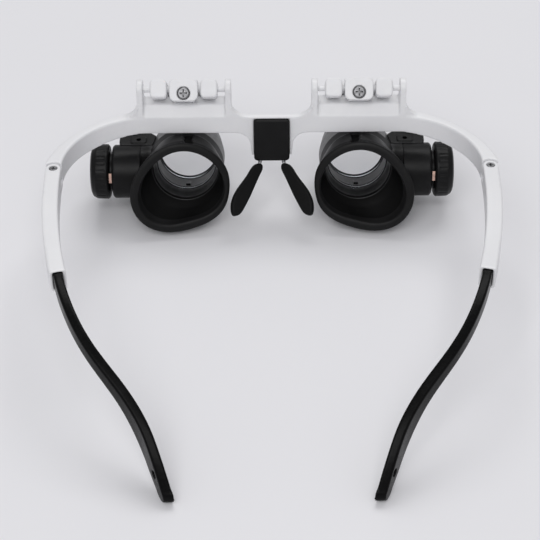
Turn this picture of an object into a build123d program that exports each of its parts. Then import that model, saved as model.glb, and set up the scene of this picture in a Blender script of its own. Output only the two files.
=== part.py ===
from build123d import *
from math import asin, cos, degrees, radians, sin
import os

os.makedirs("parts", exist_ok=True)

# Head-worn loupe: a white brow frame with two folding temples, and two flip-up loupes
# that hang from hinge pins over the brow. All sizes are in millimetres.
#
# While a piece is modelled, x = 0 is the mid-plane (right-hand pieces have x > 0), y = 0 is the
# line through the two temple fold screws (+y away from the wearer) and z = 0 is the frame's top
# face. save() then moves the piece so that z = 0 is the surface that the object stands on.

# ---- driving dimensions -------------------------------------------------------------------
FRAME_TOP = 39.45          # height of the frame's top face above the surface it stands on
FOLD_Y = 30.67             # fold screw line, in front of the middle of the object's length
FOLD_X = 73.3              # half the distance between the two fold screws

BROW_Y = 28.8              # rear face of the brow band
BROW_THICK = 2.5
BROW_HEIGHT = 6.8          # at the middle
SIDE_HEIGHT = 8.0          # at the temples
BROW_ARC_X = 42.9          # the inner face turns from here to the temple in one quarter arc
BROW_ARC_R = 27.9
SIDE_OUTER_X = 76.1

PIN_X = 30.4               # middle of each bracket
PIN_Y = 34.0
PIN_Z = 8.3
PIN_R = 1.0
EAR_INSIDE = 14.3          # from the bracket's middle to the inner face of an ear
EAR_THICK = 2.1
EAR_R = 3.6
SHELF_FRONT = 37.6
SHELF_LOW = -2.6
SHELF_HIGH = 3.3           # the shelf's floor under the pin; a ramp leads down to the brow
RUN = 0.06                 # radial clearance of a running fit
GAP = 0.1                  # between flat faces that slide on each other

LOUPE_X = 30.6             # half the distance between the two optical axes
LOUPE_Y = 34.4             # the loupe's reference point: the rear face of its rear lens
LOUPE_Z = -22.3
LOUPE_TILT = 20.0          # the optical axes point this far below level
BARREL_R = 13.5
BARREL_FRONT = 16.5        # from the reference point to the front rim
BARREL_REAR = 9.5          # from the reference point back to the rear rim
FRONT_R = 12.4
BORE_R = 11.85
PAD_TOP = 13.8             # flat on the barrel's crown that the flip arm is screwed to

POD_Y = 30.8               # battery pod, a cylinder along x
POD_Z = -24.45
POD_R = 9.55
POD_BORE = 8.25
POD_INNER = 46.6
POD_OUTER = 56.9
CAP_INNER = 58.0
CAP_OUTER = 64.6
CAP_R = 9.85

LAMP_X = 50.0              # lamp swivel axis
LAMP_Y = 42.2
PLATE_TOP = -15.3
PLATE_THICK = 2.2

TEMPLE_ARC_R = 220.0       # the white temple is one long arc, seen from above
TEMPLE_LENGTH = 54.0
TEMPLE_WIDTH = 5.3
ARM_THICK = 3.0
TIP_HOLE_R = 1.25

TILT_SIN, TILT_COS = sin(radians(LOUPE_TILT)), cos(radians(LOUPE_TILT))

# Loupe frame: x outward, y up across the optical axis, z back towards the eye.
LOUPE = Plane(origin=(LOUPE_X, LOUPE_Y, LOUPE_Z), x_dir=(1, 0, 0),
              z_dir=(0, -TILT_COS, TILT_SIN)).location
# Pod frame: z runs outward along the pod's axis, y is up.
POD = Plane(origin=(0, POD_Y, POD_Z), x_dir=(0, 1, 0), z_dir=(1, 0, 0)).location


# ---- helpers ------------------------------------------------------------------------------
def save(name, shape):
    """Stand the piece on the resting surface and write it."""
    export_step(Pos(0, FOLD_Y, FRAME_TOP) * shape, f"parts/{name}.step")


def save_pair(name, shape):
    """Write a right-hand piece and its mirror image."""
    save(f"{name}_right", shape)
    save(f"{name}_left", mirror(shape, about=Plane.YZ))


def rod(radius, start, end):
    """A round bar from one point to another."""
    axis = Vector(*end) - Vector(*start)
    place = Plane(origin=start, z_dir=axis).location
    return place * extrude(Circle(radius), amount=axis.length)


def block(x0, x1, y0, y1, z0, z1):
    return Pos((x0 + x1) / 2, (y0 + y1) / 2, (z0 + z1) / 2) * Box(x1 - x0, y1 - y0, z1 - z0)


def turned(profile):
    """A body of revolution about z from (z, radius) corners."""
    return revolve(make_face(Polyline(*[(r, 0, z) for z, r in profile], close=True)), Axis.Z)


def ring(z0, z1, outer, inner):
    return turned([(z0, inner), (z1, inner), (z1, outer), (z0, outer)])


def prism_x(x0, x1, outline):
    """A solid with a (y, z) outline between two x positions."""
    plane = Plane(origin=(x0, 0, 0), x_dir=(0, 1, 0), z_dir=(1, 0, 0))
    return extrude(plane.location * make_face(outline), amount=x1 - x0)


def prism_y(y0, y1, outline):
    """A solid with an (x, z) outline between two y positions."""
    plane = Plane(origin=(0, y1, 0), x_dir=(1, 0, 0), z_dir=(0, -1, 0))
    return extrude(plane.location * make_face(outline), amount=y1 - y0)


def cross_screw(head_r, head_h, shank_r, length, recess=0.8):
    """A screw along z with its head's underside at z = 0 and a cross recess on top."""
    head = fillet(extrude(Circle(head_r), amount=head_h).faces().sort_by(Axis.Z)[-1].edges(),
                  head_h * 0.45)
    screw = head + Pos(0, 0, -length) * extrude(Circle(shank_r), amount=length)
    for turn in (0, 90):
        slot = Box(head_r * 1.25, head_r * 0.24, recess)
        screw -= Pos(0, 0, head_h - recess * 0.4) * Rot(0, 0, turn) * slot
    return screw


def ribbon(path, widths):
    """A flat strip in the xy plane that follows a path, with widths spread evenly along it."""
    sides = {-1: [], 1: []}
    for i, width in enumerate(widths):
        at = i / (len(widths) - 1)
        point, along = path @ at, path % at
        for side in sides:
            sides[side].append(point + Vector(-along.Y, along.X, 0) * (side * width / 2))
    left, right = Spline(*sides[1]), Spline(*sides[-1])
    return make_face([left, Line(left @ 1, right @ 1), right, Line(right @ 0, left @ 0)])


# ---- frame --------------------------------------------------------------------------------
def brow_half_plan():
    arc_end = (BROW_ARC_X + BROW_ARC_R, BROW_Y - BROW_ARC_R)
    bracket_end = (PIN_X + EAR_INSIDE + EAR_THICK, 33.3)
    front = BROW_Y + BROW_THICK
    lines = [
        Line((0, BROW_Y), (BROW_ARC_X, BROW_Y)),
        TangentArc((BROW_ARC_X, BROW_Y), arc_end, tangent=(1, 0)),
        Line(arc_end, (SIDE_OUTER_X, arc_end[1])),
        Line((SIDE_OUTER_X, arc_end[1]), (SIDE_OUTER_X, 4.0)),
        ThreePointArc((SIDE_OUTER_X, 4.0), (66.0, 22.2), bracket_end),
        Line(bracket_end, (bracket_end[0], front)),
        Line((bracket_end[0], front), (0, front)),
        Line((0, front), (0, BROW_Y)),
    ]
    return make_face(lines)


def bracket():
    """The shelf and the two ears that carry one hinge pin."""
    first = PIN_X - EAR_INSIDE - EAR_THICK
    last = PIN_X + EAR_INSIDE + EAR_THICK
    shelf = Polyline((BROW_Y, 0), (BROW_Y, SHELF_LOW), (SHELF_FRONT, SHELF_LOW),
                     (SHELF_FRONT, SHELF_HIGH), (BROW_Y + SHELF_HIGH, SHELF_HIGH), close=True)
    body = prism_x(first, last, shelf)
    for x in (first, last - EAR_THICK):
        flank = Polyline((BROW_Y, -1), (SHELF_FRONT, -1), (PIN_Y + EAR_R, PIN_Z),
                         (PIN_Y - EAR_R, PIN_Z), (BROW_Y, 0.3), close=True)
        body += prism_x(x, x + EAR_THICK, flank)
        body += rod(EAR_R, (x, PIN_Y, PIN_Z), (x + EAR_THICK, PIN_Y, PIN_Z))
    flare = 5.6
    for foot, way in ((first, -1), (last, 1)):
        tip = foot + way * flare
        curve = [Line((foot, flare), (foot, -1)), Line((foot, -1), (tip, -1)),
                 Line((tip, -1), (tip, 0)),
                 RadiusArc((tip, 0), (foot, flare), way * flare)]
        body += prism_y(BROW_Y, BROW_Y + BROW_THICK, curve)
    return body


BLOCK_HALF = 6.3
BLOCK_TOP = -0.9
BLOCK_BOTTOM = -18.0
BLOCK_REAR = 27.4
BLOCK_FRONT = 29.6


def bridge_tab():
    """The drop in the middle of the brow that the bridge block sits on."""
    half, low, start, bend = 7.1, -16.4, 12.5, 4.6
    edge = [Line((-start, -3), (start, -3)), Line((start, -3), (start, -BROW_HEIGHT)),
            RadiusArc((start, -BROW_HEIGHT), (half + 0.4, -BROW_HEIGHT - bend), -5.2),
            Line((half + 0.4, -BROW_HEIGHT - bend), (half, low)), Line((half, low), (-half, low)),
            Line((-half, low), (-half - 0.4, -BROW_HEIGHT - bend)),
            RadiusArc((-half - 0.4, -BROW_HEIGHT - bend), (-start, -BROW_HEIGHT), -5.2),
            Line((-start, -BROW_HEIGHT), (-start, -3))]
    return prism_y(BROW_Y, BROW_Y + 3.4, edge)


def hinge_tongue():
    """The frame's half of the temple hinge: a flat tongue with a round end."""
    tongue = block(FOLD_X - 2.5, SIDE_OUTER_X, 0, 6, TONGUE_LOW, TONGUE_HIGH)
    tongue += Pos(FOLD_X, 0, TONGUE_LOW) * extrude(Circle(2.5), amount=TONGUE_HIGH - TONGUE_LOW)
    return tongue


EAR_TOP = -2.5             # underside of the temple's upper hinge ear
EAR_LOW = -5.5             # top of its lower ear
TONGUE_HIGH = EAR_TOP - GAP
TONGUE_LOW = EAR_LOW + GAP
HINGE_R = 2.9              # round front end of the temple
SCREW_R = 0.75             # fold screw's shank


def brow_frame():
    half = Pos(0, 0, -SIDE_HEIGHT) * extrude(brow_half_plan(), amount=SIDE_HEIGHT)
    rims = half.faces().sort_by(Axis.Z)[-1].edges().filter_by(lambda e: e.length > 25)
    half = fillet(rims, 0.7)
    lean = Polyline((-1, -BROW_HEIGHT), (47, -BROW_HEIGHT), (62, -SIDE_HEIGHT),
                    (62, -SIDE_HEIGHT - 1), (-1, -SIDE_HEIGHT - 1), close=True)
    half -= prism_y(20, 40, lean)
    half -= prism_x(-1, 46, Polyline((BROW_Y + 1.2, -BROW_HEIGHT), (BROW_Y + 3, -BROW_HEIGHT),
                                     (BROW_Y + 3, -BROW_HEIGHT + 1.0), close=True))
    half -= block(60, 80, -5, 0.9 + 0.01, -9, 1)
    room = Pos(FOLD_X, 0, -9) * extrude(Circle(HINGE_R + 0.35), amount=10)
    half -= room
    half -= block(FOLD_X - HINGE_R - 0.35, 80, -5, 0, -9, 1)
    half += hinge_tongue()
    half -= Pos(FOLD_X, 0, -9) * extrude(Circle(SCREW_R + RUN), amount=10)
    half += bracket()
    half -= rod(PIN_R, (0, PIN_Y, PIN_Z), (60, PIN_Y, PIN_Z))
    frame = half + mirror(half, about=Plane.YZ) + bridge_tab()
    frame -= block(-BLOCK_HALF - 0.05, BLOCK_HALF + 0.05, 20, BLOCK_FRONT, -30,
                   BLOCK_TOP + 0.05)
    for z in (-4.5, -13.0):
        frame -= rod(1.0, (0, 20, z), (0, 40, z))
        frame -= rod(1.9, (0, BROW_Y + 2.5, z), (0, 40, z))
    return frame


def bridge_block():
    outline = RectangleRounded(2 * BLOCK_HALF, BLOCK_TOP - BLOCK_BOTTOM, 1.3)
    place = Plane(origin=(0, BLOCK_FRONT, (BLOCK_BOTTOM + BLOCK_TOP) / 2), x_dir=(1, 0, 0),
                  z_dir=(0, -1, 0)).location
    body = place * extrude(outline, amount=BLOCK_FRONT - BLOCK_REAR)
    body = fillet(body.faces().sort_by(Axis.Y)[0].edges(), 0.45)
    for z in (-4.5, -13.0):
        body -= rod(0.8, (0, BLOCK_FRONT - 1.5, z), (0, BLOCK_FRONT + 1, z))
    for side in (-1, 1):
        body -= rod(0.7, (side * NECK_X, NECK_Y, BLOCK_BOTTOM + 2.5),
                    (side * NECK_X, NECK_Y, BLOCK_BOTTOM - 1))
    return body


def bridge_screws():
    screw = cross_screw(1.7, 0.9, 0.8, 3.1)
    facing_front = Plane(origin=(0, BROW_Y + 2.5, 0), x_dir=(1, 0, 0), z_dir=(0, 1, 0)).location
    return Compound([Pos(0, 0, z) * facing_front * screw for z in (-4.5, -13.0)])


NECK_X = 4.2
NECK_Y = 28.3
NECK_BEND = (NECK_X, NECK_Y, -18.6)
PAD_BALL = (4.5, 26.5, -19.9)
BALL_R = 0.95
PAD_START = (4.5, 26.4, -20.0)
PAD_END = (13.4, 11.0, -29.6)
PAD_FACING = (-0.35, -0.75, 0.55)


def nose_pad_wire():
    """A short bent neck from the bridge block to the pad's ball socket."""
    neck = rod(0.7, (NECK_X, NECK_Y, BLOCK_BOTTOM + 2.5), NECK_BEND)
    neck += Pos(*NECK_BEND) * Sphere(0.7) + rod(0.6, NECK_BEND, PAD_BALL)
    return neck + Pos(*PAD_BALL) * Sphere(BALL_R)


def nose_pad():
    """A leaf-shaped pad: nearly straight along its inner edge, bowed out along the other."""
    along = Vector(*PAD_END) - Vector(*PAD_START)
    facing = Vector(*PAD_FACING)
    facing -= along * (facing.dot(along) / along.length ** 2)
    place = Plane(origin=PAD_START, x_dir=along, z_dir=facing).location
    leaf = Spline((-1.4, 0.6), (0.1, 2.0), (4.0, 2.55), (8.0, 3.05), (12.5, 3.6), (16.6, 3.1),
                  (19.2, 1.8), (20.4, 0.2), (19.3, -1.2), (16.5, -1.8), (11.0, -1.8),
                  (5.5, -1.45), (1.5, -1.3), (-0.9, -0.7), periodic=True)
    pad = Pos(0, 0, -1.2) * extrude(make_face([leaf]), amount=2.4)
    pad = place * fillet(pad.edges().filter_by(lambda e: e.length > 3), 0.5)
    pad -= rod(1.0, NECK_BEND, PAD_BALL)
    return pad - Pos(*PAD_BALL) * Sphere(BALL_R + RUN)


# ---- flip bracket -------------------------------------------------------------------------
TAB_HALF = 4.9
KNUCKLE_IN = 5.8
KNUCKLE_OUT = 11.7
KNUCKLE_R = 3.25
TAB_FACING = 50.0          # the carriage's face leans back this far from level
SCREW_BELOW = 1.75         # friction screw, below the pin across that face
FACE_OUT = 3.8             # from the pin's axis to that face

PIN = Plane(origin=(PIN_X, PIN_Y, PIN_Z), x_dir=(1, 0, 0),
            z_dir=(0, -sin(radians(TAB_FACING)), cos(radians(TAB_FACING)))).location


def hinge_pin():
    start = PIN_X - EAR_INSIDE - EAR_THICK
    end = PIN_X + EAR_INSIDE + EAR_THICK
    return rod(PIN_R, (start, PIN_Y, PIN_Z), (end, PIN_Y, PIN_Z))


def carriage():
    """Slides along the pin; its foot stays on the shelf so that it cannot turn."""
    left, right = PIN_X - TAB_HALF, PIN_X + TAB_HALF
    body = rod(3.3, (left, PIN_Y, PIN_Z), (right, PIN_Y, PIN_Z))
    face = extrude(RectangleRounded(2 * TAB_HALF, 7.7, 2.0), amount=2.6)
    body += PIN * Pos(0, -0.6, FACE_OUT - 2.6) * face
    body += block(left + 1.2, right - 1.2, PIN_Y - 1.0, PIN_Y + 3.0, SHELF_HIGH + GAP, PIN_Z - 1)
    body -= rod(PIN_R + RUN, (left - 1, PIN_Y, PIN_Z), (right + 1, PIN_Y, PIN_Z))
    body -= PIN * Pos(0, -SCREW_BELOW, FACE_OUT - 0.9) * extrude(Circle(2.3), amount=2)
    body -= PIN * Pos(0, -SCREW_BELOW, FACE_OUT - 3.9) * extrude(Circle(0.55), amount=4)
    return body


def carriage_screw():
    return PIN * Pos(0, -SCREW_BELOW, FACE_OUT - 0.9) * cross_screw(2.15, 1.2, 0.55, 3.0)


def flip_arm():
    """Two flat-faced knuckles on the pin, a plate in front of the shelf and a foot on the barrel."""
    plate_back, plate_front = SHELF_FRONT + 0.7, SHELF_FRONT + 3.2
    high, low = PIN_Z - 1.5, -8.9
    wide, narrow = KNUCKLE_OUT - 0.5, 6.5
    outline = [Line((-wide, high), (wide, high)), Line((wide, high), (wide, 2.5)),
               ThreePointArc((wide, 2.5), (narrow + 1.4, -2.6), (narrow, low)),
               Line((narrow, low), (-narrow, low)),
               ThreePointArc((-narrow, low), (-narrow - 1.4, -2.6), (-wide, 2.5)),
               Line((-wide, 2.5), (-wide, high))]
    body = Pos(PIN_X, 0, 0) * prism_y(plate_back, plate_front, outline)
    for side in (-1, 1):
        x0, x1 = sorted((PIN_X + side * KNUCKLE_IN, PIN_X + side * KNUCKLE_OUT))
        face = extrude(RectangleRounded(x1 - x0, 2 * KNUCKLE_R, 1.4), amount=2 * KNUCKLE_R - 1.0)
        face = fillet(face.faces().sort_by(Axis.Z)[-1].edges(), 0.5)
        body += PIN * Pos((x0 + x1) / 2 - PIN_X, 0, 1.0 - KNUCKLE_R) * face
        body += rod(KNUCKLE_R - 0.1, (x0 + 0.5, PIN_Y, PIN_Z), (x1 - 0.5, PIN_Y, PIN_Z))
        body += block(x0 + 0.5, x1 - 0.5, PIN_Y, plate_front, PIN_Z - 3.0, high)
    body += LOUPE * Pos(PIN_X - LOUPE_X, 0, 0) * block(-6.5, 6.5, PAD_TOP, PAD_TOP + 2.4, -10, 1)
    body -= rod(PIN_R + RUN, (0, PIN_Y, PIN_Z), (60, PIN_Y, PIN_Z))
    for x in (-3.6, 3.6):
        body -= LOUPE * Pos(x, PAD_TOP, -6.8) * Rot(-90, 0, 0) * extrude(Circle(0.85), amount=5)
    return body


def arm_screws():
    """Two screws through the arm's foot into the barrel's flat."""
    screw = cross_screw(1.6, 1.1, 0.8, 3.8)
    place = LOUPE * Pos(0, PAD_TOP + 2.4, -6.8)
    return Compound([place * Pos(x, 0, 0) * Rot(-90, 0, 0) * screw for x in (-3.6, 3.6)])


# ---- loupe --------------------------------------------------------------------------------
def loupe_housing():
    outside = turned([(-BARREL_FRONT, 0), (-BARREL_FRONT, FRONT_R - 0.5), (-BARREL_FRONT + 0.5, FRONT_R),
                      (-5.0, BARREL_R), (6.5, BARREL_R), (BARREL_REAR, 12.5), (BARREL_REAR, 0)])
    outside += block(-6.5, 6.5, 8, PAD_TOP, -10, -1)
    side_arm = POD * Pos(0, 0, 38) * extrude(Circle(POD_R), amount=POD_INNER - 38)
    body = LOUPE * outside + side_arm
    body -= LOUPE * block(-30, 30, -30, 30, BARREL_REAR - 0.5, 40) \
        - LOUPE * extrude(Circle(13.2), amount=BARREL_REAR)
    body -= LOUPE * Pos(0, 0, -30) * extrude(Circle(BORE_R), amount=60)
    body -= LOUPE * block(-1.65, 1.65, 11, 16, 6.6, 12)
    for x in (-3.6, 3.6):
        body -= LOUPE * Pos(x, PAD_TOP + 1, -6.8) * Rot(90, 0, 0) * extrude(Circle(0.8), amount=2.4)
    return body


CELL_REAR = -0.0           # rear face of the lens cell
CELL_FRONT = -15.6
CELL_R = BORE_R - 0.08


def lens_cell():
    """The tube that carries both lenses; it pulls out of the barrel's front for a lens change."""
    tube = turned([(CELL_FRONT, 10.9), (CELL_FRONT, CELL_R), (CELL_REAR, CELL_R), (CELL_REAR, 11.1),
                   (-1.6, 11.1), (-1.6, 10.5), (-2.4, 10.5), (-3.4, 11.1), (-13.0, 11.1),
                   (-13.6, 10.9)])
    tab = Pos(0, -10.9, -7.0) * Box(1.6, 1.2, 4.0)
    return LOUPE * (tube + tab)


def rear_lens():
    disc = turned([(0, 0), (-0.25, 10.2), (-0.05, 10.3), (-0.05, 11.05), (-1.55, 11.05),
                   (-1.55, 0)])
    return LOUPE * disc


def front_lens():
    disc = turned([(-13.7, 0), (-13.7, 11.7), (-15.0, 11.7), (-15.55, 0)])
    return disc


def front_lens_in_cell():
    return LOUPE * (front_lens() & ring(-16, -13.65, 10.88, 0))


def retaining_ring():
    body = turned([(-15.65, 10.5), (-15.65, CELL_R), (-16.4, CELL_R), (-16.4, 11.2)])
    for turn in (0, 180):
        body -= Rot(0, 0, turn) * Pos(11.4, 0, -16.4) * Box(1.2, 1.6, 0.8)
    return LOUPE * body


CUP_TILT = 23.0            # the rim's long axis, below level on the outer side
RIM_SLANT = 6.8            # the rim's lower outer side reaches further back
RIM_Z = 15.0


def rim_face(half_long, half_short, z):
    """An oval across the loupe's axis, shifted down and outward."""
    plane = Plane(origin=(1.6, -5.95, z), x_dir=(1, 0, 0), z_dir=(0, 0, 1)).location
    return plane * Rot(0, 0, -CUP_TILT) * Rot(0, -RIM_SLANT, 0) * Ellipse(half_long, half_short)


def eyecup():
    """A soft flared cup: a round plug in the barrel's bore and a wide oval rim."""
    turn = Rot(0, 0, -CUP_TILT)
    outer = Pos(0, 0, 0.4) * turn * extrude(Circle(BORE_R - 0.03), amount=BARREL_REAR - 0.35)
    outer += loft([Pos(0, 0, BARREL_REAR + 0.05) * turn * Circle(12.3),
                   rim_face(17.95, 15.45, RIM_Z + 0.9)])
    inner = Pos(0, 0, -1) * turn * extrude(Circle(10.6), amount=8.0)
    inner += loft([Pos(0, 0, 7.0) * turn * Circle(10.6), rim_face(15.2, 12.45, RIM_Z + 1.6)])
    notch = Pos(-0.4, 11.0, 13.7) * Rot(20, 0, 0) * Box(3.0, 1.6, 3.0)
    return LOUPE * (outer - inner - notch)


# ---- battery pod and lamp -----------------------------------------------------------------
def battery_pod():
    tube = turned([(POD_INNER, 0), (POD_INNER, POD_R), (POD_OUTER - 0.7, POD_R),
                   (POD_OUTER, POD_R - 0.7), (POD_OUTER, POD_BORE), (POD_INNER + 1.5, POD_BORE),
                   (POD_INNER + 1.5, 0)])
    return POD * tube


def battery_cap():
    plug = turned([(CAP_INNER - 2.6, 0), (CAP_INNER - 2.6, 6.7), (CAP_INNER, 6.7),
                   (CAP_INNER, CAP_R - 0.8), (CAP_INNER + 0.6, CAP_R),
                   (CAP_OUTER - 2.0, CAP_R - 0.15), (CAP_OUTER - 0.6, CAP_R - 1.0),
                   (CAP_OUTER, CAP_R - 2.2), (CAP_OUTER, 0)])
    grips = 24
    for i in range(grips):
        groove = Pos(CAP_R + 0.35, 0, CAP_INNER + 1.2) * extrude(Circle(0.6), amount=4.6)
        plug -= Rot(0, 0, 360 / grips * (i + 0.5)) * groove
    plug -= Pos(0, 0, CAP_OUTER) * Box(1.7, 12.0, 2.0)
    return POD * plug


CELL_START = 50.9          # coin cells, 16 mm across and 2 mm thick


def coin_cells():
    cell = turned([(0, 0), (0, 7.0), (0.25, 8.0), (2.0, 8.0), (2.0, 0)])
    return Compound([POD * Pos(0, 0, CELL_START + 2.05 * i) * cell for i in range(2)])


def cell_spring():
    """A domed leaf that presses the coin cells against the cap's contact."""
    start = POD_INNER + 1.5
    dome = turned([(start, 0), (start, 6.5), (start + 0.3, 6.5), (CELL_START, 2.0),
                   (CELL_START, 0)])
    return POD * (dome - turned([(start - 0.1, 0), (start - 0.1, 5.9), (CELL_START - 0.3, 1.5),
                                 (CELL_START - 0.3, 0)]))


CONTACT_TURN = 252.0       # round the pod's axis, towards the wearer and a little down


def battery_contact():
    """A copper strip along the pod's bore, bare in the gap beside the cap."""
    strip = Pos(0, 0, CAP_INNER - 2.8) * (extrude(Circle(8.2), amount=2.7)
                                          - extrude(Circle(7.85), amount=2.7))
    sector = Pos(8, 0, CAP_INNER - 2.8) * extrude(Rectangle(6, 3.5), amount=2.7)
    return POD * Rot(0, 0, CONTACT_TURN - 90) * (strip & sector)


def lamp_bracket():
    """A plate over the front of the pod that the lamp swivels under."""
    outline = Polyline((41.6, 35.0), (43.0, 34.2), (54.0, 34.2), (54.6, 36.0), (54.6, 42.0),
                       (52.4, 45.0), (47.4, 45.0), (41.6, 40.0), close=True)
    plate = Pos(0, 0, PLATE_TOP - PLATE_THICK) * extrude(make_face(outline), amount=PLATE_THICK)
    boss = Pos(47.7, 36.8, PLATE_TOP) * extrude(RectangleRounded(5.6, 4.0, 0.8), amount=0.5, taper=20)
    plate += boss
    plate -= Pos(47.7, 36.8, PLATE_TOP - 1.0) * extrude(Circle(0.8), amount=3)
    plate -= Pos(LAMP_X, LAMP_Y, PLATE_TOP - 5) * extrude(Circle(0.9), amount=10)
    plate -= POD * Pos(0, 0, 30) * extrude(Circle(POD_R + 0.02), amount=40)
    plate -= LOUPE * Pos(0, 0, -30) * extrude(Circle(BARREL_R + 0.02), amount=60)
    return plate


def lamp_screw():
    screw = cross_screw(1.8, 1.0, 0.9, PLATE_THICK + 2.0)
    return Pos(LAMP_X, LAMP_Y, PLATE_TOP) * screw


LAMP_TOP = PLATE_TOP - PLATE_THICK - GAP


def lamp_head():
    lug = Pos(LAMP_X, LAMP_Y, LAMP_TOP - 2.2) * extrude(Circle(2.6), amount=2.2)
    case = Pos(LAMP_X, LAMP_Y + 6.3, LAMP_TOP - 4.6) * Rot(-LOUPE_TILT, 0, 0) * Box(8.0, 8.4, 8.0)
    case = fillet(case.edges(), 1.0)
    body = lug + block(LAMP_X - 2.0, LAMP_X + 2.0, LAMP_Y, LAMP_Y + 4, LAMP_TOP - 2.2, LAMP_TOP)
    body += case
    body -= block(LAMP_X - 10, LAMP_X + 10, LAMP_Y - 10, LAMP_Y + 20, LAMP_TOP, LAMP_TOP + 10)
    body -= Pos(LAMP_X, LAMP_Y, LAMP_TOP - 5) * extrude(Circle(0.9 + RUN), amount=10)
    body -= LAMP * Pos(0, 0, 1.2) * extrude(Circle(2.9), amount=5)
    return body


LAMP = Plane(origin=(LAMP_X, LAMP_Y + 6.3, LAMP_TOP - 4.6), x_dir=(1, 0, 0),
             z_dir=(0, TILT_COS, -TILT_SIN)).location


def led():
    stem = extrude(Circle(1.9), amount=0.6) + Pos(0, 0, 0.6) * extrude(Circle(1.2), amount=0.5)
    return LAMP * Pos(0, 0, 1.2) * (stem + (Pos(0, 0, 1.1) * Sphere(1.2)
                                            & Pos(0, 0, 1.1) * extrude(Circle(2), amount=2)))


def lamp_lens():
    return LAMP * Pos(0, 0, 3.5) * fillet(extrude(Circle(2.88), amount=0.9).edges(), 0.25)


# ---- temples ------------------------------------------------------------------------------
ARC_CENTRE = FOLD_X - TEMPLE_ARC_R
END_TURN = degrees(asin(TEMPLE_LENGTH / TEMPLE_ARC_R))
TEMPLE_END = Plane(origin=(ARC_CENTRE + TEMPLE_ARC_R * cos(radians(END_TURN)), -TEMPLE_LENGTH, 0),
                   x_dir=(cos(radians(END_TURN)), -sin(radians(END_TURN)), 0),
                   z_dir=(0, 0, 1)).location
SLOT_DEPTH = 19.0
SLOT_TOP, SLOT_LOW = -0.6, -7.4


def temple_front():
    """The white half of a temple: a long arc with a forked hinge and a deep slot behind."""
    outer, inner = TEMPLE_ARC_R + TEMPLE_WIDTH / 2, TEMPLE_ARC_R - TEMPLE_WIDTH / 2
    sweep = CenterArc((ARC_CENTRE, 0), outer, -END_TURN, END_TURN)
    back = CenterArc((ARC_CENTRE, 0), inner, -END_TURN, END_TURN)
    plan = make_face([sweep, back, Line(sweep @ 0, back @ 0), Line(sweep @ 1, back @ 1)])
    body = Pos(0, 0, -SIDE_HEIGHT) * extrude(plan, amount=SIDE_HEIGHT)
    body += Pos(FOLD_X, 0, -SIDE_HEIGHT) * extrude(Circle(HINGE_R - 0.25), amount=SIDE_HEIGHT)
    body = fillet(body.edges().filter_by(lambda e: e.length > 25), 0.7)
    body -= block(FOLD_X - 6, FOLD_X + 6, -3.1, 6, EAR_LOW, EAR_TOP)
    body -= TEMPLE_END * block(-1.6, 1.6, -1, SLOT_DEPTH, SLOT_LOW, SLOT_TOP)
    body -= Pos(FOLD_X, 0, -9) * extrude(Circle(SCREW_R), amount=10)
    body -= Pos(FOLD_X, 0, -1.1) * extrude(Circle(1.45), amount=3)
    return body


def temple_screw():
    return Pos(FOLD_X, 0, -1.1) * cross_screw(1.35, 0.85, SCREW_R, 5.9, recess=0.5)


TIP = (30.6, -116.2)        # the bar's plan ends here; the rounded paddle ends just inside
TIP_HEADING = (-0.436, -0.90)
PADDLE_END = (-112.7, 2.6 - FRAME_TOP)


def temple_arm():
    """The black half: a blade in the slot, then a flat bar that bends in and down to a paddle."""
    root = Vector(*(TEMPLE_END * Pos(0, 0.5, 0)).position)
    heading = Vector(-sin(radians(END_TURN)), -cos(radians(END_TURN)), 0)
    paddle = Vector(TIP[0] - TIP_HEADING[0] * 13, TIP[1] - TIP_HEADING[1] * 13)
    curve = Spline(root, (55.8, -78.7), (44.5, -91.8), paddle, tangents=[heading, TIP_HEADING])
    plan = ribbon(curve, [ARM_THICK] * 9) + ribbon(Line(paddle, TIP), [ARM_THICK] * 2)
    drop = Spline((-TEMPLE_LENGTH + 1, -4.0), (-66, -5.3), (-86, -14.2), (-102.5, -27.0), PADDLE_END,
                  tangents=[(-1, 0), (-1, -0.9)])
    heights = [6.6, 6.2, 5.6, 5.1, 4.8, 4.8, 5.4, 6.8, 7.9, 7.4, 5.2]
    side = ribbon(drop, heights) + Pos(*PADDLE_END) * Circle(2.6)
    flank = Plane(origin=(20, 0, 0), x_dir=(0, 1, 0), z_dir=(1, 0, 0)).location
    body = (Pos(0, 0, -45) * extrude(plan, amount=50)) & extrude(flank * side, amount=60)
    body = fillet(body.edges().filter_by(lambda e: e.length > 30), 0.6)
    body += TEMPLE_END * block(-ARM_THICK / 2, ARM_THICK / 2, -0.3, SLOT_DEPTH - 1,
                               SLOT_LOW + 0.1, SLOT_TOP - 0.1)
    return body - tip_hole()


def tip_hole():
    """A round lanyard hole straight through the paddle."""
    point = Vector(TIP[0] - TIP_HEADING[0] * 8.5, TIP[1] - TIP_HEADING[1] * 8.5, -32.4)
    across = Vector(-TIP_HEADING[1], TIP_HEADING[0], 0)
    return rod(TIP_HOLE_R, tuple(point - across * 6), tuple(point + across * 6))


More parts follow.
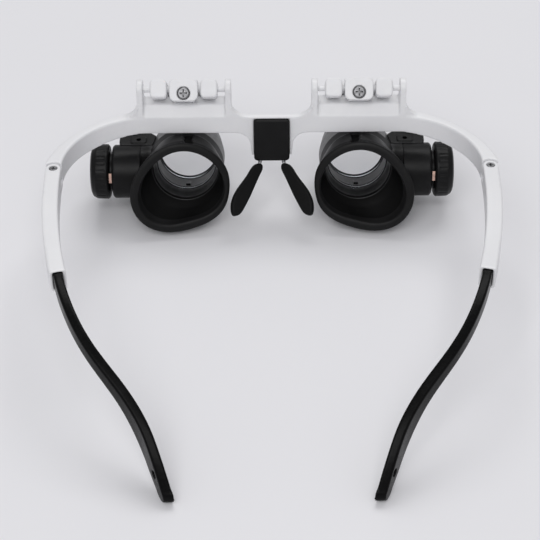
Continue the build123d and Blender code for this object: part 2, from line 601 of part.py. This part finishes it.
# ---- write every piece --------------------------------------------------------------------
save("brow_frame", brow_frame())
save("bridge_block", bridge_block())
save("bridge_screws", bridge_screws())
for name, make in (
        ("nose_pad_wire", nose_pad_wire), ("nose_pad", nose_pad), ("hinge_pin", hinge_pin),
        ("carriage", carriage), ("carriage_screw", carriage_screw), ("flip_arm", flip_arm),
        ("arm_screws", arm_screws), ("loupe_housing", loupe_housing), ("lens_cell", lens_cell),
        ("rear_lens", rear_lens), ("front_lens", front_lens_in_cell),
        ("retaining_ring", retaining_ring), ("eyecup", eyecup), ("battery_pod", battery_pod),
        ("battery_cap", battery_cap), ("coin_cells", coin_cells), ("cell_spring", cell_spring),
        ("battery_contact", battery_contact), ("lamp_bracket", lamp_bracket),
        ("lamp_screw", lamp_screw), ("lamp_head", lamp_head), ("led", led),
        ("lamp_lens", lamp_lens), ("temple_front", temple_front),
        ("temple_screw", temple_screw), ("temple_arm", temple_arm)):
    save_pair(name, make())
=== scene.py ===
import bpy
import bmesh
import math
import numpy as np
from mathutils import Matrix, Vector


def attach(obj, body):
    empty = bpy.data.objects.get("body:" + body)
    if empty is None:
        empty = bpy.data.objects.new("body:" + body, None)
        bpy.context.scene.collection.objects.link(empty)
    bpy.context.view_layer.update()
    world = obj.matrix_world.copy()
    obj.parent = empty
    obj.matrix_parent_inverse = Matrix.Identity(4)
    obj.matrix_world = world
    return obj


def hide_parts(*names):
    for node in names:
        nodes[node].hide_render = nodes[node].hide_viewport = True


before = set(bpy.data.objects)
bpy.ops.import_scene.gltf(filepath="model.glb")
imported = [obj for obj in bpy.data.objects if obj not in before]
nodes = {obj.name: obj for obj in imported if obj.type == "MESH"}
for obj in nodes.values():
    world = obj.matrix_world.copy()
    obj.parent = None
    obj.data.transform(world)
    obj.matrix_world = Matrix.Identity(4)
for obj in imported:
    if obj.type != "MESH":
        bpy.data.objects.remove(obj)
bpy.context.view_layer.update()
SIDES = (("right", 1), ("left", -1))
MM = 0.001

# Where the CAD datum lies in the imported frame, in millimetres: the line of the fold screws in y
# and the frame's top face in z.
FOLD_Y, FRAME_TOP = 30.67, 39.45

scene = bpy.context.scene
scene.view_settings.view_transform = "Standard"


def link(obj):
    scene.collection.objects.link(obj)
    return obj


# ---- materials ----------------------------------------------------------------------------
class Shader:
    """A node material with one Principled shader, and helpers for its inputs."""

    def __init__(self, name, **sockets):
        self.material = bpy.data.materials.new(name)
        self.material.use_nodes = True
        self.tree = self.material.node_tree
        self.shader = self.tree.nodes["Principled BSDF"]
        self.output = self.tree.nodes["Material Output"]
        for key, value in sockets.items():
            self.shader.inputs[key.replace("_", " ")].default_value = value
        self.place = self.add("ShaderNodeTexCoord").outputs["Object"]
        self.bump_from = None

    def add(self, kind, **values):
        node = self.tree.nodes.new(kind)
        for key, value in values.items():
            setattr(node, key, value)
        return node

    def wire(self, source, target):
        self.tree.links.new(source, target)

    def noise(self, size_mm, detail=3.0, rough=0.55, stretch=None):
        """A noise pattern whose features are about size_mm across."""
        noise = self.add("ShaderNodeTexNoise")
        noise.inputs["Scale"].default_value = 1000.0 / size_mm
        noise.inputs["Detail"].default_value = detail
        noise.inputs["Roughness"].default_value = rough
        if stretch:
            mapping = self.add("ShaderNodeMapping")
            mapping.inputs["Scale"].default_value = stretch
            self.wire(self.place, mapping.inputs["Vector"])
            self.wire(mapping.outputs["Vector"], noise.inputs["Vector"])
        else:
            self.wire(self.place, noise.inputs["Vector"])
        return noise.outputs["Fac"]

    def cells(self, size_mm, feature="F1"):
        """A cell pattern whose cells are about size_mm across."""
        cells = self.add("ShaderNodeTexVoronoi", feature=feature)
        cells.inputs["Scale"].default_value = 1000.0 / size_mm
        self.wire(self.place, cells.inputs["Vector"])
        return cells.outputs["Distance"]

    def ramp(self, source, low, high):
        """A colour ramp between two stops, each a position and a colour."""
        ramp = self.add("ShaderNodeValToRGB")
        for element, (position, colour) in zip(ramp.color_ramp.elements, (low, high)):
            element.position = position
            element.color = (*colour, 1)
        self.wire(source, ramp.inputs["Fac"])
        return ramp.outputs["Color"]

    def spread(self, source, low, high, start=0.3, stop=0.7):
        """The source's range start..stop mapped to low..high."""
        span = self.add("ShaderNodeMapRange")
        for key, value in (("From Min", start), ("From Max", stop), ("To Min", low), ("To Max", high)):
            span.inputs[key].default_value = value
        self.wire(source, span.inputs["Value"])
        return span.outputs["Result"]

    def blend(self, factor, first, second):
        """A mix of two colours; each input is an output of a node or a fixed value."""
        mix = self.add("ShaderNodeMix", data_type="RGBA")
        for source, key in ((factor, 0), (first, 6), (second, 7)):
            if isinstance(source, (float, int)):
                mix.inputs[key].default_value = source
            elif isinstance(source, tuple):
                mix.inputs[key].default_value = (*source, 1)
            else:
                self.wire(source, mix.inputs[key])
        return mix.outputs[2]

    def bump(self, source, depth_mm, strength):
        """Adds a bump layer of this depth on top of the earlier ones."""
        bump = self.add("ShaderNodeBump")
        bump.inputs["Strength"].default_value = strength
        bump.inputs["Distance"].default_value = depth_mm * MM
        self.wire(source, bump.inputs["Height"])
        if self.bump_from:
            self.wire(self.bump_from, bump.inputs["Normal"])
        self.bump_from = bump.outputs["Normal"]
        self.wire(self.bump_from, self.shader.inputs["Normal"])

    def colour(self, source):
        self.wire(source, self.shader.inputs["Base Color"])

    def roughness(self, source):
        self.wire(source, self.shader.inputs["Roughness"])


def grey(value, blue=1.0):
    """A grey with its blue part raised a little."""
    return value, value, value * blue


def worn_edges(s, base, worn):
    """Mixes a paler worn colour in along convex edges, broken up by noise."""
    edges = s.add("ShaderNodeNewGeometry").outputs["Pointiness"]
    edge = s.spread(edges, 0.0, 0.8, start=0.52, stop=0.60)
    broken = s.add("ShaderNodeMath", operation="MULTIPLY")
    s.wire(edge, broken.inputs[0])
    s.wire(s.spread(s.noise(1.6, 4.0), 0.15, 1.0, start=0.35, stop=0.65), broken.inputs[1])
    return s.blend(broken.outputs[0], base, worn)


# The painted shade on a barrel's side beside its battery pod begins this far from the mid-plane and is fully
# dark here.
OUTBOARD_SHADE_FROM, OUTBOARD_SHADE_FULL = 43.0 * MM, 44.0 * MM


def paint_outboard_shade(s, base, specular, tone, gloss):
    """Paints shade beside the battery pods: fades the colour to a darker tone, and the gloss with it."""
    axes = s.add("ShaderNodeSeparateXYZ")
    s.wire(s.place, axes.inputs[0])
    across = s.add("ShaderNodeMath", operation="ABSOLUTE")
    s.wire(axes.outputs["X"], across.inputs[0])
    s.wire(s.spread(across.outputs[0], specular, gloss, OUTBOARD_SHADE_FROM, OUTBOARD_SHADE_FULL),
           s.shader.inputs["Specular IOR Level"])
    # share of the painted shade, growing with the distance from the mid-plane
    share = s.spread(across.outputs[0], 0, 1, OUTBOARD_SHADE_FROM, OUTBOARD_SHADE_FULL)
    return s.blend(share, base, grey(tone))


def white_abs():
    """Injection-moulded white ABS: faint flow marks, fine texture, soft gloss."""
    s = Shader("white_moulded_abs", Subsurface_Weight=0.12, Subsurface_Scale=0.0015,
               Specular_IOR_Level=0.42, IOR=1.52)
    s.shader.inputs["Subsurface Radius"].default_value = (1.0, 0.95, 0.9)
    flow = s.noise(14, 3, 0.5, stretch=(1.0, 0.5, 1.0))
    clouds = s.ramp(flow, (0.3, (0.775, 0.775, 0.790)), (0.7, (0.815, 0.815, 0.825)))
    specks = s.spread(s.noise(0.5, 2, 0.6), 0.0, 0.35, start=0.66, stop=0.76)
    s.colour(s.blend(specks, clouds, (0.66, 0.655, 0.65)))
    s.roughness(s.spread(s.noise(2.4, 5, 0.6), 0.30, 0.42))
    s.bump(s.noise(0.16, 2, 0.5), 0.010, 0.35)
    s.bump(s.noise(5.0, 2, 0.4), 0.05, 0.22)
    return s.material


def black_moulded(name, dark, pale, rough, grain_mm, grain_depth, specular, worn, outboard_shade=None):
    """Black moulded plastic with an etched grain; the outboard argument gives the painted shade's tone and
    gloss beside the pods.
    """
    s = Shader(name, Specular_IOR_Level=specular, IOR=1.5)
    base = s.ramp(s.noise(6.0, 4, 0.6), (0.3, grey(dark, 1.03)), (0.7, grey(pale, 1.05)))
    if outboard_shade:
        base = paint_outboard_shade(s, base, specular, *outboard_shade)
    s.colour(worn_edges(s, base, grey(worn, 1.04)))
    s.roughness(s.spread(s.noise(1.5, 5, 0.65), *rough))
    s.bump(s.cells(grain_mm), grain_depth, 0.5)
    s.bump(s.noise(4.0, 3, 0.5), 0.05, 0.2)
    return s.material


def rubber(name, dark, pale, rough, pits_mm, pit_depth, specular, sheen=0.0):
    """Soft matt rubber: tiny pits, dust in scattered patches and, on the eyecups, a faint sheen."""
    s = Shader(name, Specular_IOR_Level=specular, IOR=1.5, Sheen_Weight=sheen, Sheen_Roughness=0.6)
    s.shader.inputs["Sheen Tint"].default_value = (0.8, 0.8, 0.85, 1)
    base = s.ramp(s.noise(9.0, 4, 0.6), (0.25, grey(dark)), (0.75, grey(pale, 1.04)))
    dust = s.spread(s.noise(0.35, 3, 0.7), 0.0, 0.5, start=0.68, stop=0.80)
    s.colour(s.blend(dust, base, (pale * 3.0, pale * 3.0, pale * 3.1)))
    s.roughness(s.spread(s.noise(2.0, 4, 0.6), *rough))
    s.bump(s.cells(pits_mm, "SMOOTH_F1"), pit_depth, 0.6)
    s.bump(s.noise(7.0, 2, 0.5), 0.06, 0.2)
    return s.material


def brushed_metal(name, dark, pale, rough):
    """Plated metal with fine machining lines, a little tarnish, and painted shade darkening its recesses."""
    s = Shader(name, Metallic=1.0, Anisotropic=0.3)
    lines = s.noise(0.22, 3, 0.6, stretch=(1.0, 6.0, 6.0))
    tarnish = s.spread(s.noise(1.2, 4, 0.6), 0.0, 0.6, start=0.45, stop=0.75)
    base = s.blend(tarnish, s.ramp(lines, (0.3, dark), (0.7, pale)), tuple(c * 0.55 for c in dark))
    # Painted shade: the colour darkens where ambient occlusion finds a recess.
    painted_hollow_shade = s.add("ShaderNodeAmbientOcclusion")
    painted_hollow_shade.inputs["Distance"].default_value = 0.9 * MM
    shade = s.spread(painted_hollow_shade.outputs["AO"], 0.85, 0.0, start=0.25, stop=0.80)
    s.colour(s.blend(shade, base, tuple(c * 0.06 for c in dark)))
    s.roughness(s.spread(s.noise(0.7, 5, 0.6), *rough))
    s.bump(lines, 0.008, 0.5)
    return s.material


def clear_lens(name, tint, gloss_rough):
    """Thin coated glass: what is behind shows through unbent, under a gloss that grows at grazing angles."""
    s = Shader(name)
    s.tree.nodes.remove(s.shader)
    film = s.add("ShaderNodeBsdfTransparent")
    clearer = tuple(min(1, c * 1.015) for c in tint)
    s.wire(s.ramp(s.noise(9, 3, 0.5), (0.3, tint), (0.7, clearer)), film.inputs["Color"])
    gloss = s.add("ShaderNodeBsdfGlossy")
    gloss.inputs["Color"].default_value = (0.93, 0.97, 1.0, 1)
    gloss.inputs["Roughness"].default_value = gloss_rough
    smear = s.add("ShaderNodeBump")
    smear.inputs["Strength"].default_value = 0.06
    smear.inputs["Distance"].default_value = 0.02 * MM
    s.wire(s.noise(3.0, 4, 0.6), smear.inputs["Height"])
    s.wire(smear.outputs["Normal"], gloss.inputs["Normal"])
    fresnel = s.add("ShaderNodeFresnel")
    fresnel.inputs["IOR"].default_value = 1.24
    mix = s.add("ShaderNodeMixShader")
    s.wire(fresnel.outputs["Fac"], mix.inputs["Fac"])
    s.wire(film.outputs["BSDF"], mix.inputs[1])
    s.wire(gloss.outputs["BSDF"], mix.inputs[2])
    s.wire(mix.outputs["Shader"], s.output.inputs["Surface"])
    return s.material


def lens_edge_highlight():
    """The ground bevel round a lens: its pale grey is partly the frosted edge and partly a painted highlight
    along the lens's rim.
    """
    s = Shader("ground_lens_edge", Specular_IOR_Level=0.6, IOR=1.5)
    s.colour(s.ramp(s.noise(1.1, 4, 0.6), (0.3, (0.20, 0.205, 0.215)), (0.7, (0.34, 0.345, 0.36))))
    s.roughness(s.spread(s.noise(0.4, 3), 0.22, 0.42))
    s.bump(s.noise(0.25, 2), 0.01, 0.4)
    return s.material


def phosphor():
    """The yellow phosphor over a white LED's chip."""
    s = Shader("led_phosphor", Specular_IOR_Level=0.5)
    s.colour(s.ramp(s.noise(0.5, 3), (0.3, (0.75, 0.62, 0.18)), (0.7, (0.88, 0.80, 0.42))))
    s.roughness(s.spread(s.noise(0.3, 3), 0.25, 0.5))
    s.bump(s.noise(0.2, 2), 0.02, 0.4)
    return s.material


def floor_paper():
    """Matt, very slightly uneven background paper."""
    s = Shader("studio_paper", Specular_IOR_Level=0.15)
    s.colour(s.ramp(s.noise(220, 3, 0.5), (0.3, (0.800, 0.797, 0.818)), (0.7, (0.820, 0.817, 0.838))))
    s.roughness(s.spread(s.noise(8, 4, 0.6), 0.75, 0.9))
    s.bump(s.noise(1.2, 4, 0.6), 0.04, 0.15)
    return s.material


WHITE = white_abs()
# Painted shade darkens the barrel's side beside each battery pod.
BARREL = black_moulded("barrel_satin_black", dark=0.010, pale=0.016, rough=(0.30, 0.42), grain_mm=0.25,
                       grain_depth=0.006, specular=0.32, worn=0.05, outboard_shade=(0.006, 0.16))
POD = black_moulded("pod_etched_black", dark=0.0045, pale=0.0075, rough=(0.34, 0.46), grain_mm=0.28,
                    grain_depth=0.006, specular=0.16, worn=0.03)
ARM = black_moulded("temple_gloss_black", dark=0.003, pale=0.005, rough=(0.22, 0.32), grain_mm=0.5,
                    grain_depth=0.004, specular=0.07, worn=0.02)
BLOCK = black_moulded("bridge_etched_black", dark=0.0055, pale=0.0085, rough=(0.46, 0.58), grain_mm=0.32,
                      grain_depth=0.016, specular=0.14, worn=0.04)
TUBE = black_moulded("lens_tube_black", dark=0.004, pale=0.007, rough=(0.28, 0.38), grain_mm=0.3,
                     grain_depth=0.001, specular=0.13, worn=0.03)
CLIP = black_moulded("lamp_clip_black", dark=0.006, pale=0.010, rough=(0.36, 0.5), grain_mm=0.3,
                     grain_depth=0.012, specular=0.2, worn=0.05)
EYECUP = rubber("eyecup_rubber", dark=0.0035, pale=0.006, rough=(0.40, 0.52), pits_mm=0.22,
                pit_depth=0.010, specular=0.20, sheen=0.02)
# A darker copy of the eyecup rubber: painted shade for the deep bowl and the slot.
SHADED_BOWL_RUBBER = rubber("eyecup_bowl_rubber", dark=0.0022, pale=0.004, rough=(0.45, 0.58), pits_mm=0.22,
              pit_depth=0.010, specular=0.10)
PAD = rubber("nose_pad_silicone", dark=0.006, pale=0.009, rough=(0.48, 0.6), pits_mm=0.45,
             pit_depth=0.035, specular=0.10)
SCREW = brushed_metal("mottled_screw_steel", dark=(0.14, 0.14, 0.145), pale=(0.34, 0.34, 0.35),
                      rough=(0.34, 0.5))
STEEL = brushed_metal("zinc_plated_steel", dark=(0.42, 0.42, 0.43), pale=(0.62, 0.62, 0.64),
                      rough=(0.28, 0.42))
CELL = brushed_metal("cell_nickel", dark=(0.60, 0.60, 0.60), pale=(0.76, 0.76, 0.76), rough=(0.2, 0.32))
COPPER = brushed_metal("copper_strip", dark=(0.78, 0.50, 0.40), pale=(0.92, 0.66, 0.56),
                       rough=(0.32, 0.45))
GLASS = clear_lens("coated_lens_glass", tint=(0.990, 0.992, 0.995), gloss_rough=0.03)
LAMP_CLEAR = clear_lens("clear_lamp_cover", tint=(0.96, 0.96, 0.96), gloss_rough=0.06)
PHOSPHOR = phosphor()
LENS_EDGE_HIGHLIGHT = lens_edge_highlight()

FINISH = {
    "brow_frame": WHITE, "bridge_block": BLOCK, "bridge_screws": STEEL, "nose_pad_wire": STEEL,
    "nose_pad": PAD, "hinge_pin": WHITE, "carriage": WHITE, "carriage_screw": SCREW,
    "flip_arm": WHITE, "arm_screws": STEEL, "loupe_housing": BARREL, "lens_cell": TUBE,
    "rear_lens": GLASS, "front_lens": GLASS, "retaining_ring": TUBE, "eyecup": EYECUP,
    "battery_pod": POD, "battery_cap": POD, "coin_cells": CELL, "cell_spring": STEEL,
    "battery_contact": COPPER, "lamp_bracket": CLIP, "lamp_screw": STEEL, "lamp_head": CLIP,
    "led": PHOSPHOR, "lamp_lens": LAMP_CLEAR, "temple_front": WHITE, "temple_screw": SCREW,
    "temple_arm": ARM,
}

for name, obj in nodes.items():
    obj.data.materials.clear()
    obj.data.materials.append(FINISH[name.replace("_right", "").replace("_left", "")])


# ---- moulded edges ------------------------------------------------------------------------
# Moulded pieces: name, voxel in millimetres and smoothing passes. SIDED has one on each side.
SINGLE = (("brow_frame", 0.32, 5), ("bridge_block", 0.28, 5))
SIDED = (("temple_front", 0.30, 5), ("temple_arm", 0.30, 4), ("flip_arm", 0.25, 4), ("carriage", 0.22, 3),
         ("nose_pad", 0.24, 4), ("battery_pod", 0.27, 3), ("battery_cap", 0.25, 3), ("lamp_bracket", 0.22, 3))


def soften(name, voxel_mm, passes):
    """Rounds a moulded node's sharp edges, as in a real mould, without moving its faces."""
    obj = nodes[name]
    obj.modifiers.new("weld", "WELD").merge_threshold = 1e-6
    remesh = obj.modifiers.new("remesh", "REMESH")
    remesh.mode = "VOXEL"
    remesh.voxel_size = voxel_mm * MM
    remesh.use_smooth_shade = True
    smooth = obj.modifiers.new("smooth", "SMOOTH")
    smooth.factor, smooth.iterations = 0.5, passes


for part, voxel_mm, passes in SINGLE:
    soften(part, voxel_mm, passes)
for side, sign in SIDES:
    for part, voxel_mm, passes in SIDED:
        soften(f"{part}_{side}", voxel_mm, passes)


# ---- the loupe's frame and round pieces ---------------------------------------------------
# Millimetres: x outward, y up and z back to the eye, from the loupe's origin in the CAD datum.
LOUPE_AT = (30.6, 34.4, -22.3)
LOUPE_TILT = math.radians(20)
RIM_TURN = math.radians(24.2)       # the rim's long axis, below level on the outer side


def from_loupe(x, y, z, sign):
    """A point of the loupe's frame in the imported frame, in metres; sign is -1 on the left."""
    across, along = math.sin(LOUPE_TILT), math.cos(LOUPE_TILT)
    return (sign * (LOUPE_AT[0] + x) * MM,
            (LOUPE_AT[1] + y * across - z * along + FOLD_Y) * MM,
            (LOUPE_AT[2] + y * along + z * across + FRAME_TOP) * MM)


def turned_point(radius, angle, centre, slant=0.0):
    """A point at this radius and angle from the rim's long axis, as x, y and the slant's rise."""
    u, v = radius * math.cos(angle), radius * math.sin(angle)
    run = u * math.cos(slant)
    x = centre[0] + run * math.cos(RIM_TURN) + v * math.sin(RIM_TURN)
    y = centre[1] - run * math.sin(RIM_TURN) + v * math.cos(RIM_TURN)
    return x, y, u * math.sin(slant)


def plain_ring(radius, z, centre=(0, 0)):
    """A level circle about this centre, as a function of the angle."""
    def ring(angle):
        x, y, _ = turned_point(radius, angle, centre)
        return x, y, z
    return ring


def ring_points(rings, count):
    """Evenly spaced points round each ring, as an array of rings, points and coordinates."""
    return np.array([[ring(2 * math.pi * i / count) for i in range(count)] for ring in rings])


def ring_piece(name, skin, sign, finishes, finish_at, smooth):
    """A closed piece skinned over rings of points, with its last ring joined to its first."""
    mesh = bmesh.new()
    loops = [[mesh.verts.new(from_loupe(*point, sign)) for point in ring] for ring in skin]
    for level, (first, second) in enumerate(zip(loops, loops[1:] + loops[:1])):
        for i in range(len(first)):
            j = (i + 1) % len(first)
            face = mesh.faces.new((first[i], first[j], second[j], second[i]))
            face.material_index = finish_at(level, i)
            face.smooth = smooth
    bmesh.ops.recalc_face_normals(mesh, faces=mesh.faces)
    data = bpy.data.meshes.new(name)
    mesh.to_mesh(data)
    mesh.free()
    for finish in finishes:
        data.materials.append(finish)
    return link(bpy.data.objects.new(name, data))


# ---- eyecups ------------------------------------------------------------------------------
RIM_SLANT = math.radians(6.8)       # the rim's outer end lies further back
RIM_Z = 15.9
OUTER_CENTRE, OUTER_MEAN = (1.64, -5.93), 16.95
OUTER_TERMS = ((1.25, 0.23), (0.33, -0.37))
INNER_CENTRE, INNER_MEAN = (1.43, -6.01), 13.81
INNER_TERMS = ((1.40, 0.28), (0.51, -0.43))
RELIEF_AT, RELIEF_SPREAD, RELIEF_DEPTH = 208, 22, 0.85      # degrees, degrees, millimetres
LIP_BULGE = 0.6
PLUG_R = 11.8
BARREL_REAR = 9.5
COLLAR_R = 12.55                    # the collar meets the barrel's chamfered rear edge
COLLAR_Z = BARREL_REAR + 0.2
BOWL_R, BOWL_CENTRE, BOWL_Z = 12.2, (0.4, -1.7), 11.2       # where the bowl runs into the neck
NECK_R, NECK_OPENING = 11.5, 1.9    # widest in the barrel's bore, and its growth behind the bore
SLOT_X, SLOT_HALF, SLOT_BACK, SLOT_DEPTH = -1.1, 1.5, 14.6, 0.9

# Radius and z of the plug's rings, and the same with the centre for the neck's.
PLUG = ((PLUG_R - 0.3, 0.5), (PLUG_R, 0.8), (PLUG_R, BARREL_REAR - 0.1),
        (PLUG_R + 0.1, BARREL_REAR + 0.1), (12.35, BARREL_REAR + 0.06), (COLLAR_R, BARREL_REAR + 0.15))
NECK = ((11.75, 10.2, (0.2, -0.75)), (11.35, 9.0, (0, -0.2)), (11.2, 7.0, (0, 0)),
        (11.0, 4.0, (0, 0)), (10.7, 1.2, (0, 0)), (10.8, 0.5, (0, 0)))

# The skin's rings are numbered from the plug's front, over the lip and back through the bowl.
FLARE_STEPS, LIP_STEPS, BOWL_STEPS = 23, 10, 10
LIP_RING = len(PLUG) + FLARE_STEPS  # the lip's first ring
SATIN_END = LIP_RING - 6            # rings before this one have the barrel's finish
SLOT_START = len(PLUG) - 1
CREASE_RING = LIP_RING + 9          # rings from here are eased into one curve
BOWL_SHADE_RING = LIP_RING + 13           # faces from here take the bowl's darker rubber, painted shade
EASE_PASSES = 14
RING_POINTS = 160
# The last slot holds the darker rubber, painted shade in the bowl and the slot.
RUBBER_SLOT, SATIN_SLOT, SHADE_SLOT = 0, 1, 2


def rim_radius(angle, mean, terms):
    """A radius that varies round the rim: mean, then (cos, sin) of twice and three times the angle."""
    (c2, s2), (c3, s3) = terms
    return (mean + c2 * math.cos(2 * angle) + s2 * math.sin(2 * angle)
            + c3 * math.cos(3 * angle) + s3 * math.sin(3 * angle))


def outer_rim(angle):
    """The rim's outline, a little flatter beside the nose pad."""
    away = (math.degrees(angle) - RELIEF_AT) / RELIEF_SPREAD
    radius = rim_radius(angle, OUTER_MEAN, OUTER_TERMS) - RELIEF_DEPTH * math.exp(-away * away)
    return turned_point(radius, angle, OUTER_CENTRE, RIM_SLANT)


def inner_rim(angle):
    return turned_point(rim_radius(angle, INNER_MEAN, INNER_TERMS), angle, INNER_CENTRE, RIM_SLANT)


def flare(rise):
    """A ring of the flared outside, from the collar (rise 0) to the rim (rise 1).

    The flare bulges on the outer side and runs straight beside the nose.
    """
    def ring(angle):
        x0, y0, _ = turned_point(COLLAR_R, angle, (0, 0))
        x1, y1, lift = outer_rim(angle)
        share = rise ** (0.86 - 0.14 * math.cos(angle - 0.4)) * 0.985
        return (x0 + (x1 - x0) * share, y0 + (y1 - y0) * share,
                COLLAR_Z + (RIM_Z + lift - COLLAR_Z) * rise * 0.97)
    return ring


def lip_ring(turn):
    """A ring of the rounded lip, from the outer rim (turn 0) over to the inner rim (turn pi)."""
    def ring(angle):
        x0, y0, lift0 = outer_rim(angle)
        x1, y1, lift1 = inner_rim(angle)
        share = (1 - math.cos(turn)) / 2
        return (x0 + (x1 - x0) * share, y0 + (y1 - y0) * share,
                RIM_Z + lift0 + (lift1 - lift0) * share + LIP_BULGE * math.sin(turn))
    return ring


def bowl_ring(turn):
    """A ring of the bowl, from the inner rim (turn pi/2) down to the neck (turn 0)."""
    share, rise = math.sin(turn), 0.55 * (1 - math.cos(turn)) + 0.45 * math.sin(turn)

    def ring(angle):
        x0, y0, _ = turned_point(BOWL_R, angle, BOWL_CENTRE)
        x1, y1, lift = inner_rim(angle)
        return x0 + (x1 - x0) * share, y0 + (y1 - y0) * share, BOWL_Z + (RIM_Z + lift - BOWL_Z) * rise
    return ring


def eyecup_skin():
    """The points of one closed skin: plug, flared outside, rounded lip, deep bowl and neck."""
    rings = [plain_ring(radius, z) for radius, z in PLUG]
    rings += [flare(step / FLARE_STEPS) for step in range(1, FLARE_STEPS + 1)]
    rings += [lip_ring(math.pi * step / LIP_STEPS) for step in range(LIP_STEPS + 1)]
    rings += [bowl_ring(math.pi / 2 * (1 - step / BOWL_STEPS)) for step in range(1, BOWL_STEPS + 1)]
    rings += [plain_ring(radius, z, centre) for radius, z, centre in NECK]
    skin = ring_points(rings, RING_POINTS)
    first, last = CREASE_RING, len(rings) - 3
    for _ in range(EASE_PASSES):    # eases the crease between bowl and neck
        beside = skin[first - 1:last - 1] + skin[first + 1:last + 1]
        skin[first:last] = 0.5 * skin[first:last] + 0.25 * beside
    for ring in skin[CREASE_RING:]:
        for point in ring:          # the neck stays inside the barrel's bore
            x, y, z = point
            excess = math.hypot(x, y) / (NECK_R + NECK_OPENING * max(0.0, z - BARREL_REAR - 0.1))
            if excess > 1:
                point[:2] = x / excess, y / excess
    return skin


def in_slot(level, x, y, z):
    """Whether a point is in the slot across the collar's crown, just in front of the rim, which is painted
    dark as shade.
    """
    return SLOT_START <= level < LIP_RING and y > 0 and abs(x - SLOT_X) < SLOT_HALF and z < SLOT_BACK


def eyecup(side, sign):
    """The rubber eyecup, with the satin collar in front of its rim."""
    skin = eyecup_skin()
    slotted = np.array([[in_slot(level, *point) for point in ring] for level, ring in enumerate(skin)])
    skin[slotted, 1] -= SLOT_DEPTH

    # The bowl and the slot take the darker rubber as painted shade.
    def finish_at(level, i):
        if slotted[level, i] or level >= BOWL_SHADE_RING:
            return SHADE_SLOT
        return SATIN_SLOT if level < SATIN_END else RUBBER_SLOT

    piece = ring_piece(f"eyecup_skin_{side}", skin, sign, (EYECUP, BARREL, SHADED_BOWL_RUBBER), finish_at, True)
    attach(piece, f"loupe_{side}")
    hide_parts(f"eyecup_{side}")


# ---- lens bevels --------------------------------------------------------------------------
# Radius and z round the bevel's section, just behind the rear lens's edge.
BEVEL = ((10.34, -0.04), (10.58, -0.04), (10.58, 0.05), (10.52, 0.14), (10.40, 0.14), (10.34, 0.05))
BEVEL_POINTS = 128


def lens_bevel(side, sign):
    """The bevelled ring round the rear lens's eye side, whose pale colour is partly a painted highlight of
    the lens's edge.
    """
    skin = ring_points([plain_ring(radius, z) for radius, z in BEVEL], BEVEL_POINTS)
    piece = ring_piece(f"lens_bevel_{side}", skin, sign, (LENS_EDGE_HIGHLIGHT,), lambda level, i: 0, False)
    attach(piece, f"lens_{side}")


for side, sign in SIDES:
    eyecup(side, sign)
    lens_bevel(side, sign)


# ---- floor, light and camera --------------------------------------------------------------
FLOOR_REACH, FLOOR_CELLS = 3.0, 24
STUDIO_TINT, STUDIO_STRENGTH = (0.97, 0.97, 1.0, 1), 0.41
CAMERA_AT = (0, -0.39958, 0.35498)
CAMERA_ELEVATION = 40.0             # degrees above level
CAMERA_ROLL = 0.45


def floor():
    mesh = bmesh.new()
    bmesh.ops.create_grid(mesh, x_segments=FLOOR_CELLS, y_segments=FLOOR_CELLS, size=FLOOR_REACH)
    data = bpy.data.meshes.new("floor")
    mesh.to_mesh(data)
    mesh.free()
    data.materials.append(floor_paper())
    plane = link(bpy.data.objects.new("floor", data))


def studio_world():
    world = bpy.data.worlds.new("studio")
    world.use_nodes = True
    background = world.node_tree.nodes["Background"]
    background.inputs["Color"].default_value = STUDIO_TINT
    background.inputs["Strength"].default_value = STUDIO_STRENGTH
    scene.world = world


def softbox(name, place, aim, width, height, power):
    light = bpy.data.lights.new(name, "AREA")
    light.shape = "RECTANGLE"
    light.size, light.size_y = width, height
    light.energy = power
    obj = link(bpy.data.objects.new(name, light))
    obj.location = place
    obj.rotation_mode = "QUATERNION"
    obj.rotation_quaternion = (Vector(aim) - Vector(place)).to_track_quat("-Z", "Y")


def camera():
    data = bpy.data.cameras.new("camera")
    data.sensor_width = 36.0
    data.lens = 106.0
    data.shift_x = -0.00504
    data.clip_start, data.clip_end = 0.01, 20
    eye = link(bpy.data.objects.new("camera", data))
    turn = Matrix.Rotation(math.radians(90 - CAMERA_ELEVATION), 4, "X")
    roll = Matrix.Rotation(math.radians(-CAMERA_ROLL), 4, "Z")
    eye.matrix_world = Matrix.Translation(CAMERA_AT) @ turn @ roll
    scene.camera = eye


floor()
studio_world()
softbox("camera_side", place=(-0.15, -0.95, 1.15), aim=(0, 0, 0), width=1.0, height=0.8, power=8.6)
softbox("overhead", place=(0.1, 0.70, 1.20), aim=(0, 0.1, 0), width=1.0, height=0.6, power=6.3)
camera()
